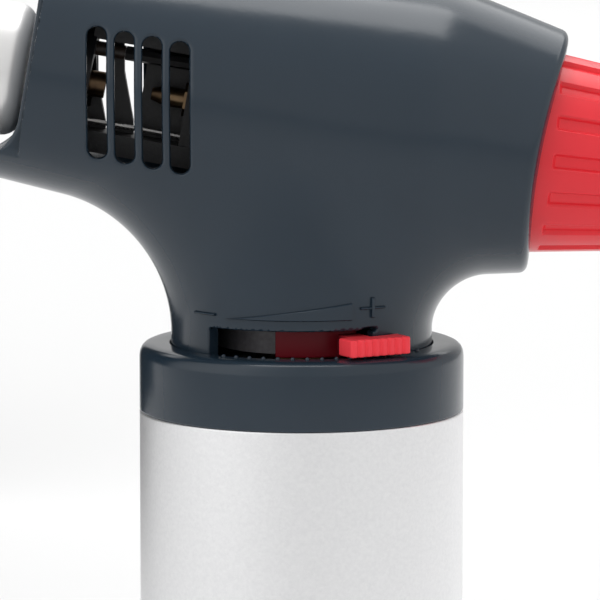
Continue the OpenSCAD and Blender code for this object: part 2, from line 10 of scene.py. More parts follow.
import bpy
import numpy as np
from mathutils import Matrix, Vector

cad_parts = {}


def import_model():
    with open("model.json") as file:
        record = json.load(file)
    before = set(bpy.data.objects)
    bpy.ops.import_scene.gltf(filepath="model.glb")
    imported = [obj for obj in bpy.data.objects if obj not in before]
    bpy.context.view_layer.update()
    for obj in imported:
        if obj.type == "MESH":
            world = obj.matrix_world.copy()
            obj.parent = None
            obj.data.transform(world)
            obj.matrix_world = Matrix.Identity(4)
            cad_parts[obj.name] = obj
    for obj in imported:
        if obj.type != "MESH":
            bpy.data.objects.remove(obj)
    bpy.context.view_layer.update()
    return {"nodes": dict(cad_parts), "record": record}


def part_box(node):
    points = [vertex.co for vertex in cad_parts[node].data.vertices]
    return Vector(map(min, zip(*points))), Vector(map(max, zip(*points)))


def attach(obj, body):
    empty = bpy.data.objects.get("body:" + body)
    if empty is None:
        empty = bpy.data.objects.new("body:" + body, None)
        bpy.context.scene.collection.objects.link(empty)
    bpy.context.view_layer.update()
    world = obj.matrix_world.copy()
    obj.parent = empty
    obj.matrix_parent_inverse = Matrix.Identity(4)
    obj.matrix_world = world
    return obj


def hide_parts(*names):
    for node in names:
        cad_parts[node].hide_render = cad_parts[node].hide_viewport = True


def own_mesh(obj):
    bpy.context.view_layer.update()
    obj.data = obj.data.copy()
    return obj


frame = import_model()

MM = 0.001

# ---------------------------------------------------------------- sizes, from the frame where it has them

TILT = math.radians(10)
COS, SIN = math.cos(TILT), math.sin(TILT)


def node_z(node):
    """Lowest and highest point of a CAD node, in millimetres."""
    low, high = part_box(node)
    return low.z / MM, high.z / MM


TANK_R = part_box("tank_shell")[1].x / MM
TANK_LOW, TANK_TOP = node_z("tank_shell")
NECK_Z = TANK_TOP + 10.4
BARREL_Z = NECK_Z + 35.8
NECK_R = 20.1
COLLAR_IN = NECK_R + 0.2
WALL = 2.2
RIM_FRONT, RIM_REAR, RIM_DIP = -41.8, 38.2, 2.5
CHIN_Z, CHIN_ARC, CHIN_TIP = -15.8, 8.3, -54.0
FILLET_FRONT, FILLET_REAR, FILLET_SIDE = 20.0, 7.0, 9.0
TRIGGER_R = 15.4
TRIGGER_END = 60.8
GROOVE_START = 0.2
BURNER_DROP = 1.6
BURNER_R = 10.2
BURNER_FRONT = -82.0
VENT_X, VENT_PITCH, VENT_W, VENT_H = -30.47, 4.13, 2.9, 19.8
SCREWS = [(-27.2, 54.3), (16.7, 50.1), (-14.5, 10.8)]
SCREW_SEAT = 8.5
SEAM = 0.04

# Brightness of the light tent by direction, in degrees from the camera's side (0), left (-) and right (+)
TENT = [(-180, 0.70), (-166, 0.70), (-160, 0.03), (-112, 0.03), (-102, 0.7), (-80, 1.1), (-50, 1.25),
        (-24, 0.85), (0, 0.66), (40, 0.82), (100, 0.80), (135, 0.45), (180, 0.70)]
TENT_STRENGTH = 1.0


# ---------------------------------------------------------------- distance formulas

def round_max(a, b, r):
    """Intersection of two solids with its edge rounded to radius r."""
    return np.minimum(np.maximum(a, b), -r) + np.hypot(np.maximum(a + r, 0), np.maximum(b + r, 0))


def barrel_frame(x, z):
    """Distance along the barrel (rearwards) and height above its axis."""
    dz = z - BARREL_Z
    return x * COS - dz * SIN, x * SIN + dz * COS


def world(s, y, up):
    """Place in the CAD frame of a point given along, beside and above the barrel's axis."""
    return np.array([s * COS + up * SIN, y, BARREL_Z - s * SIN + up * COS])


def barrel_radius(s):
    """The barrel widens slowly to a soft ridge and then narrows towards its rear rim."""
    front = 18.45 + 0.075 * (s + 42)
    rear = 18.75 + 0.22 * (RIM_REAR - s)
    return (front + rear) / 2 - np.sqrt(((front - rear) / 2) ** 2 + 0.25)


def head_form(x, y, z):
    """Barrel and neck, joined by a rolling-ball fillet that tightens from front to rear."""
    s, up = barrel_frame(x, z)
    h = np.hypot(y, up) + 1e-6
    m = np.hypot(x, y) + 1e-6
    barrel = h - barrel_radius(s)
    neck = m - NECK_R
    k = np.clip((up * SIN * x + y * y) / (h * m), -0.99999, 0.99999)
    t = np.clip((x / NECK_R + 1) / 2, 0, 1)
    ball = FILLET_FRONT + (FILLET_REAR - FILLET_FRONT) * t * t * (3 - 2 * t)
    ball += FILLET_SIDE * t * np.minimum(1, (y / 18) ** 2)
    u, v = barrel - ball, neck - ball
    blend = ball - np.sqrt((u * u + v * v - 2 * k * u * v) / (1 - k * k))
    rolling = (u - k * v < 0) & (v - k * u < 0)
    return np.where(up > 0, barrel, np.where(rolling, blend, np.minimum(barrel, neck)))


def front_cut(s, up):
    """Below zero in front of the rim, down to the chin that reaches under the burner."""
    return round_max(s - RIM_FRONT, CHIN_Z - up, CHIN_ARC)


def chin_end(s, y):
    """Below zero on the material side of the chin's rounded tip."""
    radius = 13.0
    well_inside = -5.0
    return np.where(s < CHIN_TIP + radius, np.hypot(s - CHIN_TIP - radius, y) - radius, well_inside)


def vents(x, z):
    """Distance to the nearest vent slot, below zero inside it."""
    best = None
    for i in range(4):
        dx = x - VENT_X - i * VENT_PITCH
        dz = z - (BARREL_Z + 3.75 - i * VENT_PITCH * math.tan(TILT))
        reach = np.maximum(np.abs(dz) - (VENT_H - VENT_W) / 2, 0)
        slot = np.hypot(dx, reach) - VENT_W / 2
        best = slot if best is None else np.minimum(best, slot)
    return best


def lever_slot(x, y, z):
    """Slot in the neck for the flame lever, with a small arched relief at its + end."""
    angle = np.degrees(np.arctan2(x, -y))
    side = (np.abs(angle - (-44 + 32.6) / 2) - (44 + 32.6) / 2) * math.radians(1) * NECK_R
    slot = round_max(round_max(side, z - NECK_Z - 4.0, 0.3), NECK_Z - 0.8 - z, 0.2)
    relief = np.hypot((angle - 30.5) * math.radians(1) * NECK_R, (z - NECK_Z - 4.0) * 3.5) - 1.4
    return np.maximum(np.minimum(slot, relief), 14 - np.hypot(x, y))


def head_side(side):
    """Distance formula of one half of the head; side is -1 for the near half and 1 for the far one."""
    def field(x, y, z):
        s, up = barrel_frame(x, z)
        form = head_form(x, y, z)
        lip = np.maximum(TRIGGER_R + 0.4 - np.hypot(y, up), RIM_REAR - 4.6 - s)
        plate = np.maximum(7.9 - np.hypot(y, up + BURNER_DROP), s - RIM_FRONT - 2)
        plate = np.maximum(plate, RIM_FRONT - 1 - s)
        core = np.maximum(form + WALL, -np.minimum(lip, plate))
        for sx, sz in SCREWS:
            core = np.maximum(core, 2.5 - np.hypot(x - sx, z - NECK_Z - sz))
        for rib in (9, 17):
            disc = np.maximum(np.abs(s - rib - 0.9) - 0.9, 5.25 - np.hypot(y, up))
            core = np.maximum(core, -np.maximum(disc, -7 - up))
        solid = round_max(form, -core, 0.35)
        solid = round_max(solid, s - RIM_REAR + RIM_DIP * (y / 18.45) ** 2, 1.0)
        solid = round_max(solid, -front_cut(s, up), 0.45)
        solid = round_max(solid, chin_end(s, y), 0.6)
        solid = round_max(solid, TANK_TOP + 0.6 - z, 0.3)
        solid = round_max(solid, -vents(x, z), 0.6)
        if side < 0:
            solid = round_max(solid, -lever_slot(x, y, z), 0.25)
        else:
            for sx, sz in SCREWS:
                recess = np.maximum(np.hypot(x - sx, z - NECK_Z - sz) - 3, SCREW_SEAT - y)
                solid = round_max(solid, -recess, 0.25)
        return round_max(solid, SEAM - side * y, 0.12)
    return field


# ---------------------------------------------------------------- mesh makers

def make_mesh(name, points, faces, normals=None, smooth=True):
    """A mesh object from millimetre points; normals, if given, are the shading normals at the points."""
    mesh = bpy.data.meshes.new(name)
    mesh.from_pydata((np.asarray(points, float) * MM).tolist(), [], faces)
    mesh.validate()
    mesh.update()
    mesh.polygons.foreach_set("use_smooth", [smooth] * len(mesh.polygons))
    if normals is not None:
        mesh.normals_split_custom_set_from_vertices(np.asarray(normals, float).tolist())
    obj = bpy.data.objects.new(name, mesh)
    bpy.context.scene.collection.objects.link(obj)
    return obj


def slope(field, p, step):
    """Gradient of a distance formula at points p."""
    parts = []
    for axis in range(3):
        d = np.zeros(3)
        d[axis] = step
        parts.append(field(*(p + d).T) - field(*(p - d).T))
    return np.stack(parts, 1) / (2 * step)


def iso_surface(name, field, low, high, step):
    """Surface nets on a grid, with every vertex then drawn onto the true surface."""
    axes = [np.arange(low[i], high[i] + step, step) for i in range(3)]
    grid = np.meshgrid(*axes, indexing="ij")
    value = field(*grid)
    inside = value < 0
    cells = tuple(n - 1 for n in value.shape)
    corner = [(i, j, k) for i in (0, 1) for j in (0, 1) for k in (0, 1)]

    def at(array, c):
        return array[c[0]:c[0] + cells[0], c[1]:c[1] + cells[1], c[2]:c[2] + cells[2]]

    count = sum(at(inside, c).astype(np.int8) for c in corner)
    active = (count > 0) & (count < 8)
    where = np.argwhere(active)
    index = np.full(cells, -1, np.int64)
    index[active] = np.arange(len(where))
    total = np.zeros((len(where), 3))
    hits = np.zeros(len(where))
    for a in corner:
        for axis in range(3):
            if a[axis]:
                continue
            b = tuple(1 if i == axis else a[i] for i in range(3))
            va = at(value, a)[active]
            vb = at(value, b)[active]
            cross = (va < 0) != (vb < 0)
            t = np.where(cross, va / np.where(cross, va - vb, 1), 0)
            place = np.array(a, float) + t[:, None] * (np.array(b) - np.array(a))
            total += place * cross[:, None]
            hits += cross
    points = np.array(low) + (where + total / hits[:, None]) * step
    for _ in range(5):
        g = slope(field, points, step * 0.15)
        v = field(*points.T)
        move = -v[:, None] * g / np.maximum((g * g).sum(1), 0.2)[:, None]
        length = np.linalg.norm(move, axis=1)
        move *= np.minimum(1, 0.4 * step / np.maximum(length, 1e-9))[:, None]
        points += move
    normals = slope(field, points, step * 0.15)
    normals /= np.maximum(np.linalg.norm(normals, axis=1), 1e-9)[:, None]
    faces = []
    for axis in range(3):
        o1, o2 = [i for i in range(3) if i != axis]
        span = [slice(1, -1)] * 3
        span[axis] = slice(0, -1)
        nxt = [slice(1, -1)] * 3
        nxt[axis] = slice(1, None)
        a = inside[tuple(span)]
        b = inside[tuple(nxt)]
        edges = np.argwhere(a != b)
        flip = a[tuple(edges.T)]
        base = edges + 1
        base[:, axis] -= 1
        quad = []
        for d1, d2 in ((0, 0), (1, 0), (1, 1), (0, 1)):
            cell = base.copy()
            cell[:, o1] -= d1
            cell[:, o2] -= d2
            quad.append(index[tuple(cell.T)])
        quad = np.stack(quad, 1)
        turn = flip if axis != 1 else ~flip
        quad[~turn] = quad[~turn][:, ::-1]
        faces.append(quad)
    faces = np.concatenate(faces)
    return make_mesh(name, points, faces.tolist(), normals)


def rounded(outline, radius):
    """An outline with each corner replaced by a short arc. Points may carry their own radius."""
    result = []
    n = len(outline)
    for i in range(n):
        p = np.array(outline[i][:2], float)
        r = outline[i][2] if len(outline[i]) > 2 else radius
        a = np.array(outline[i - 1][:2], float) - p
        b = np.array(outline[(i + 1) % n][:2], float) - p
        la, lb = np.linalg.norm(a), np.linalg.norm(b)
        cut = min(r, la * 0.45, lb * 0.45)
        if cut < 1e-3:
            result.append(p)
            continue
        a, b = p + a / la * cut, p + b / lb * cut
        for t in np.linspace(0, 1, 6):
            result.append((1 - t) ** 2 * a + 2 * t * (1 - t) * p + t * t * b)
    return np.array(result)


def lathe(name, outline, radius=0.3, along=None, steps=180):
    """Turns a closed outline of (r, height) round +Z, or round the barrel's axis where along is given."""
    shape = rounded(outline, radius)
    n = len(shape)
    turn = np.linspace(0, 2 * math.pi, steps, endpoint=False)
    r, h = shape[:, 0], shape[:, 1]
    x = r[None] * np.cos(turn)[:, None]
    y = r[None] * np.sin(turn)[:, None]
    z = np.broadcast_to(h, x.shape)
    points = np.stack([x, y, z], 2).reshape(-1, 3)
    if along is not None:
        points = to_barrel(points, along)
    faces = []
    for i in range(steps):
        j = (i + 1) % steps
        for k in range(n):
            m = (k + 1) % n
            faces.append((i * n + k, j * n + k, j * n + m, i * n + m))
    obj = make_mesh(name, points, faces)
    fix_normals(obj)
    return obj


def to_barrel(points, up=0.0):
    """Points made round +Z, with z along the barrel, moved into place on an axis at height up."""
    s = points[:, 2]
    y = points[:, 1]
    u = -points[:, 0] + up
    return np.stack([s * COS + u * SIN, y, BARREL_Z - s * SIN + u * COS], 1)


def fix_normals(obj):
    """Points every face outwards."""
    bpy.context.view_layer.objects.active = obj
    obj.select_set(True)
    bpy.ops.object.mode_set(mode="EDIT")
    bpy.ops.mesh.select_all(action="SELECT")
    bpy.ops.mesh.normals_make_consistent(inside=False)
    bpy.ops.object.mode_set(mode="OBJECT")
    obj.select_set(False)
    mark_sharp(obj)


def mark_sharp(obj, degrees=32):
    """Smooth shading that breaks at real corners."""
    obj.data.polygons.foreach_set("use_smooth", [True] * len(obj.data.polygons))
    obj.data.set_sharp_from_angle(angle=math.radians(degrees))


def sweep(name, path, radius, sides=16):
    """A round rod along a path of millimetre points."""
    path = np.asarray(path, float)
    tangent = np.gradient(path, axis=0)
    tangent /= np.linalg.norm(tangent, axis=1)[:, None]
    u = np.cross(tangent[0], [0, 1, 0.03])
    u /= np.linalg.norm(u)
    ring = []
    angle = np.linspace(0, 2 * math.pi, sides, endpoint=False)
    for p, t in zip(path, tangent):
        u = u - t * (u @ t)
        u /= np.linalg.norm(u)
        v = np.cross(t, u)
        ring.append(p + radius * (np.cos(angle)[:, None] * u + np.sin(angle)[:, None] * v))
    n = len(path)
    faces = []
    for i in range(n - 1):
        for k in range(sides):
            m = (k + 1) % sides
            faces.append((i * sides + k, i * sides + m, (i + 1) * sides + m, (i + 1) * sides + k))
    faces.append(tuple(range(sides))[::-1])
    faces.append(tuple((n - 1) * sides + k for k in range(sides)))
    obj = make_mesh(name, np.concatenate(ring), faces)
    fix_normals(obj)
    return obj


def helix(start, end, radius, turns, per_turn=24):
    """Points of a coil spring between two heights, with its ends closed up flat."""
    n = int(turns * per_turn)
    t = np.linspace(0, 1, n + 1)
    closed = 1.0 / turns
    rise = np.clip((t - closed) / (1 - 2 * closed), 0, 1)
    angle = 2 * math.pi * turns * t
    return np.stack([radius * np.cos(angle), radius * np.sin(angle), start + (end - start) * rise], 1)


# ---------------------------------------------------------------- materials

class Paint:
    """Small helper that wires one Principled material."""

    def __init__(self, name, **values):
        self.material = bpy.data.materials.new(name)
        self.material.use_nodes = True
        self.nodes = self.material.node_tree.nodes
        self.links = self.material.node_tree.links
        self.shader = self.nodes["Principled BSDF"]
        for key, value in values.items():
            socket = self.shader.inputs[key.replace("_", " ")]
            if socket.type == "RGBA":
                value = (*value, 1.0)
            socket.default_value = value
        self.place = self.nodes.new("ShaderNodeTexCoord").outputs["Object"]

    def noise(self, scale, detail=3.0, rough=0.5, stretch=None):
        """Fractal noise; scale is in features per metre, stretch scales the three axes."""
        source = self.place
        if stretch:
            move = self.nodes.new("ShaderNodeMapping")
            move.inputs["Scale"].default_value = stretch
            self.links.new(source, move.inputs["Vector"])
            source = move.outputs["Vector"]
        tex = self.nodes.new("ShaderNodeTexNoise")
        tex.inputs["Scale"].default_value = scale
        tex.inputs["Detail"].default_value = detail
        tex.inputs["Roughness"].default_value = rough
        self.links.new(source, tex.inputs["Vector"])
        return tex.outputs["Fac"]

    def ramp(self, fac, stops):
        """Colour ramp from (position, colour) pairs."""
        node = self.nodes.new("ShaderNodeValToRGB")
        self.links.new(fac, node.inputs["Fac"])
        elements = node.color_ramp.elements
        while len(elements) < len(stops):
            elements.new(0.5)
        for element, (position, colour) in zip(elements, stops):
            element.position = position
            element.color = (*colour, 1.0)
        return node.outputs["Color"]

    def to_range(self, fac, low, high):
        node = self.nodes.new("ShaderNodeMapRange")
        self.links.new(fac, node.inputs["Value"])
        node.inputs["To Min"].default_value = low
        node.inputs["To Max"].default_value = high
        return node.outputs["Result"]

    def bump(self, height, distance, strength=1.0):
        """Adds a bump layer on top of those already there; distance is in metres."""
        node = self.nodes.new("ShaderNodeBump")
        node.inputs["Distance"].default_value = distance
        node.inputs["Strength"].default_value = strength
        self.links.new(height, node.inputs["Height"])
        if self.shader.inputs["Normal"].is_linked:
            self.links.new(self.shader.inputs["Normal"].links[0].from_socket, node.inputs["Normal"])
        self.links.new(node.outputs["Normal"], self.shader.inputs["Normal"])

    def link(self, output, key):
        self.links.new(output, self.shader.inputs[key])


def vary(colour, by):
    """A colour made lighter or darker."""
    return tuple(min(1.0, c * by) for c in colour)


def moulded_plastic(name, colour, rough, grain=0.00001, speck=0.06):
    """Moulded plastic: a very fine surface ripple, faint cloudiness and slightly uneven gloss."""
    p = Paint(name, Base_Color=colour, Roughness=rough, IOR=1.5)
    stops = [(0.3, vary(colour, 1 - speck)), (0.7, vary(colour, 1 + speck))]
    p.link(p.ramp(p.noise(60, 4), stops), "Base Color")
    p.link(p.to_range(p.noise(220, 5, 0.6), rough * 0.85, rough * 1.2), "Roughness")
    p.bump(p.noise(900, 2), grain)
    p.bump(p.noise(140, 1), grain * 3)
    return p.material


def textured_plastic(name, colour, rough):
    """Plastic with a spark-eroded texture."""
    p = Paint(name, Base_Color=colour, Roughness=rough, IOR=1.5)
    stops = [(0.3, vary(colour, 0.85)), (0.7, vary(colour, 1.15))]
    p.link(p.ramp(p.noise(1500, 3), stops), "Base Color")
    p.link(p.to_range(p.noise(400, 4), rough * 0.9, min(1, rough * 1.1)), "Roughness")
    p.bump(p.noise(2600, 2), 0.00004)
    return p.material


def blasted_aluminium(name):
    """Bead-blasted and anodised: dense tiny dimples, slightly uneven haze."""
    p = Paint(name, Base_Color=(0.94, 0.94, 0.95), Metallic=1.0, Roughness=0.42)
    stops = [(0.32, (0.90, 0.90, 0.91)), (0.68, (0.97, 0.97, 0.975))]
    p.link(p.ramp(p.noise(1700, 4, 0.7), stops), "Base Color")
    p.link(p.to_range(p.noise(90, 5, 0.6), 0.38, 0.47), "Roughness")
    p.bump(p.noise(4200, 3, 0.6), 0.000016, 0.8)
    return p.material


def metal(name, colour, rough, grain_scale=500, grain=0.000008, stretch=None, tarnish=None):
    """Worked metal: fine tool marks, uneven polish and, where given, tarnish in soft patches."""
    p = Paint(name, Base_Color=colour, Metallic=1.0, Roughness=rough)
    stops = [(0.35, vary(colour, 0.92)), (0.65, vary(colour, 1.05))]
    if tarnish:
        stops = [(0.3, tarnish), (0.55, vary(colour, 0.95)), (0.75, vary(colour, 1.05))]
    p.link(p.ramp(p.noise(150, 5, 0.6), stops), "Base Color")
    p.link(p.to_range(p.noise(grain_scale, 4, 0.6, stretch), rough * 0.75, rough * 1.3), "Roughness")
    p.bump(p.noise(grain_scale * 2, 3, 0.6, stretch), grain)
    return p.material


def burner_steel(name):
    """Spun stainless tube, with heat colours that fade in towards its mouth."""
    p = Paint(name, Base_Color=(0.84, 0.83, 0.82), Metallic=0.55, Roughness=0.34)
    split = p.nodes.new("ShaderNodeSeparateXYZ")
    p.links.new(p.place, split.inputs[0])
    mouth_x = world(BURNER_FRONT, 0, 0)[0] * MM
    heat = p.nodes.new("ShaderNodeMapRange")
    p.links.new(split.outputs["X"], heat.inputs["Value"])
    heat.inputs["From Min"].default_value = mouth_x
    heat.inputs["From Max"].default_value = mouth_x + 0.022
    tint = p.ramp(heat.outputs["Result"], [
        (0.0, (0.42, 0.40, 0.42)), (0.18, (0.45, 0.42, 0.55)), (0.34, (0.62, 0.48, 0.42)),
        (0.55, (0.76, 0.68, 0.52)), (1.0, (0.96, 0.95, 0.94))])
    p.link(tint, "Base Color")
    p.link(p.to_range(p.noise(700, 4, 0.6, (6.0, 1.0, 1.0)), 0.28, 0.40), "Roughness")
    p.bump(p.noise(1500, 2, 0.5, (8.0, 0.6, 0.6)), 0.000006)
    return p.material


def lever_plastic_with_painted_shade():
    """Red plastic, bright on the tab, with painted shade that colours the skirt inside the slot a deep red.
    """
    p = Paint("red_lever_painted_shade", Base_Color=(1.0, 0.06, 0.08), Roughness=0.36, IOR=1.3)
    split = p.nodes.new("ShaderNodeSeparateXYZ")
    p.links.new(p.place, split.inputs[0])
    flat = p.nodes.new("ShaderNodeCombineXYZ")
    for axis in "XY":
        p.links.new(split.outputs[axis], flat.inputs[axis])
    reach = p.nodes.new("ShaderNodeVectorMath")
    reach.operation = "LENGTH"
    p.links.new(flat.outputs["Vector"], reach.inputs[0])
    # Painted shade: the red darkens from 19.5 mm to 16.6 mm off the neck's axis, so the skirt inside the
    # slot is painted dark where the slot shades it.
    span = p.nodes.new("ShaderNodeMapRange")
    p.links.new(reach.outputs["Value"], span.inputs["Value"])
    span.inputs["From Min"].default_value = 16.6 * MM
    span.inputs["From Max"].default_value = 19.5 * MM
    stops = [(0.0, (0.16, 0.003, 0.010)), (1.0, (1.0, 0.06, 0.08))]
    p.link(p.ramp(span.outputs["Result"], stops), "Base Color")
    p.link(p.to_range(p.noise(220, 5, 0.6), 0.30, 0.44), "Roughness")
    p.bump(p.noise(900, 2), 0.000012)
    return p.material


def build_materials():
    slate = (0.016, 0.030, 0.046)
    return {
        "slate_plastic": moulded_plastic("slate_gloss", slate, 0.20),
        "foot_plastic": textured_plastic("slate_textured", slate, 0.5),
        "black_plastic": textured_plastic("black_moulding", (0.032, 0.032, 0.035), 0.42),
        "white_plastic": textured_plastic("white_moulding", (0.70, 0.68, 0.62), 0.45),
        "red_plastic": moulded_plastic("red_gloss", (0.88, 0.024, 0.038), 0.30, 0.000012, 0.05),
        "tank_aluminium": blasted_aluminium("blasted_aluminium"),
        "cap_aluminium": metal("turned_aluminium", (0.80, 0.80, 0.81), 0.32),
        "stainless": burner_steel("spun_stainless"),
        "spring_steel": metal("spring_steel", (0.58, 0.57, 0.56), 0.28, 900, 0.000006),
        "brass": metal("turned_brass", (0.34, 0.23, 0.13), 0.36, 600, 0.000008, None, (0.12, 0.07, 0.05)),
        "rubber": textured_plastic("seal_rubber", (0.018, 0.018, 0.018), 0.6),
        "silicone": moulded_plastic("silicone_hose", (0.55, 0.46, 0.36), 0.38),
        "ceramic": textured_plastic("glazed_ceramic", (0.05, 0.035, 0.028), 0.35),
        "wire_cover": moulded_plastic("wire_cover", (0.014, 0.014, 0.016), 0.35),
    }


MATERIALS = build_materials()
LEVER_RED_SLOT_SHADE = lever_plastic_with_painted_shade()
DRUM_GREY = textured_plastic("drum_moulding", (0.13, 0.125, 0.135), 0.42)
SLOT_OF = {part["node"]: part["material_slot"] for part in frame["record"]["subparts"]}
BODY_OF = {n: body for body, nodes in frame["record"]["behaviour"]["bodies"].items() for n in nodes}


def dress(obj, slot_name):
    obj.data.materials.clear()
    obj.data.materials.append(MATERIALS[slot_name])


def stand_for(obj, node):
    """A detailed piece that takes a CAD node's place, body and finish."""
    slot_name = SLOT_OF[node]
    dress(obj, slot_name)
    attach(obj, BODY_OF[node])
    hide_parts(node)
    return obj


for cad_name, cad_obj in frame["nodes"].items():
    dress(cad_obj, SLOT_OF[cad_name])
frame["nodes"]["flow_adjuster"].data.materials[0] = DRUM_GREY


# ---------------------------------------------------------------- head

def head_shells():
    """The two halves of the head, each a little past the middle plane before its seam is cut."""
    reach, overlap, step = 24, 0.3, 0.4
    for side, name, node in ((-1, "head_left", "head_shell_left"), (1, "head_right", "head_shell_right")):
        ends = sorted((reach * side, -overlap * side))
        low = (-58, ends[0], TANK_TOP)
        high = (42, ends[1], 166)
        stand_for(iso_surface(name, head_side(side), low, high, step), node)


def neck_mark(name, low, high, angles, lift=0.42, bevel=0.2):
    """A raised band on the neck with sloping edges; low and high give its heights for an angle."""
    angles = np.asarray(angles, float)
    a = np.radians(angles)
    low, high = low(angles) + NECK_Z, high(angles) + NECK_Z
    span = (high - low) / 2
    slant = np.minimum(bevel, span * 0.8)
    rows = []
    for edge, inset, out in ((1, 0, -0.3), (1, 0, 0), (1, 0.5, lift * 0.75), (1, 1, lift),
                             (-1, 1, lift), (-1, 0.5, lift * 0.75), (-1, 0, 0), (-1, 0, -0.3)):
        r = NECK_R + out
        height = (low + high) / 2 + edge * (span - inset * slant)
        rows.append(np.stack([r * np.sin(a), -r * np.cos(a), height], 1))
    n, m = len(angles), len(rows)
    faces = [(i * n + k, i * n + k + 1, (i + 1) % m * n + k + 1, (i + 1) % m * n + k)
             for i in range(m) for k in range(n - 1)]
    faces.append(tuple(i * n for i in range(m)))
    faces.append(tuple(i * n + n - 1 for i in range(m))[::-1])
    obj = make_mesh(name, np.concatenate(rows), faces)
    fix_normals(obj)
    dress(obj, "slate_plastic")
    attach(obj, "torch")


def marks():
    """Raised generic signs beside the lever slot: a minus, a rising wedge and a plus."""
    def level(height):
        return lambda angle: height + angle * 0

    neck_mark("mark_minus", level(5.85), level(6.35), np.linspace(-52.5, -40, 16))
    neck_mark("mark_wedge", level(5.58), lambda a: 5.68 + (a + 33.9) * 0.0467, np.linspace(-33.9, 21.8, 60))
    neck_mark("mark_plus_bar", level(7.08), level(7.58), np.linspace(26, 38.1, 16))
    neck_mark("mark_plus_post", level(5.8), level(9.0), np.linspace(31.1, 32.5, 4))


# ---------------------------------------------------------------- turned and swept pieces

def tank_and_foot():
    inner = TANK_R - 1.2
    stand_for(lathe("tank", [(inner, TANK_LOW), (TANK_R, TANK_LOW), (TANK_R, TANK_TOP), (inner, TANK_TOP)],
                    0.35, steps=256), "tank_shell")
    foot_low, foot_top = node_z("base_foot")
    foot_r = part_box("base_foot")[1].x / MM
    stand_for(lathe("foot", [
        (26, foot_low, 0.4), (foot_r, foot_low, 0.8), (foot_r, 3, 1.5), (foot_r - 1.2, 5.4, 1.5),
        (TANK_R + 3.2, foot_top - 1.2, 1.2), (TANK_R + 2, foot_top, 0.8), (TANK_R + 0.15, foot_top, 0.2),
        (TANK_R + 0.15, TANK_LOW, 0), (9, TANK_LOW, 0.2), (9, TANK_LOW - 3, 0.5),
        (24.5, TANK_LOW - 3, 1.0), (26, TANK_LOW - 5, 0.8)], steps=256), "base_foot")


def collar():
    low, high = node_z("collar_ring")
    obj = lathe("collar", [(COLLAR_IN, TANK_TOP, 0.2), (TANK_R, TANK_TOP, 0.35), (TANK_R, NECK_Z, 3.6),
                           (COLLAR_IN, NECK_Z, 0.25)], steps=256)
    stand_for(obj, "collar_ring")
    for i in range(-6, 10):
        angle = math.radians(i * 6.1 + 2.4)
        r = COLLAR_IN + 0.5
        bpy.ops.mesh.primitive_uv_sphere_add(
            segments=20, ring_count=12, radius=0.35 * MM,
            location=(r * math.sin(angle) * MM, -r * math.cos(angle) * MM, NECK_Z * MM))
        bead = bpy.context.object
        bead.name = f"detent_bead_{i + 7}"
        bpy.ops.object.shade_smooth()
        dress(bead, "slate_plastic")
        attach(bead, "torch")


def burner():
    back, mid, shoulder, sheet = -45.0, BURNER_R - 3.0, 3.0, 0.7
    lift = math.asin((7.5 - mid) / shoulder)
    outer = [(mid + shoulder * math.sin(a), back + shoulder * math.cos(a), 0)
             for a in np.linspace(math.pi / 2, lift, 14)]
    thin = shoulder - sheet
    inner = [(mid + thin * math.sin(a), back + thin * math.cos(a), 0)
             for a in np.linspace(lift, math.pi / 2, 14)]
    lip = [(BURNER_R - 0.7 + 0.7 * math.cos(a), BURNER_FRONT + 0.7 - 0.7 * math.sin(a), 0)
           for a in np.linspace(math.pi, 0, 12)]
    outline = [(BURNER_R - sheet, BURNER_FRONT + 1.6, 0.2)] + lip + outer + [
        (7.5, -36, 0.2), (4.25, -36, 0.1), (4.25, -36.8, 0.1), (6.8, -36.8, 0.2)] + inner
    stand_for(lathe("burner", outline, 0.2, along=-BURNER_DROP, steps=220), "burner_tube")


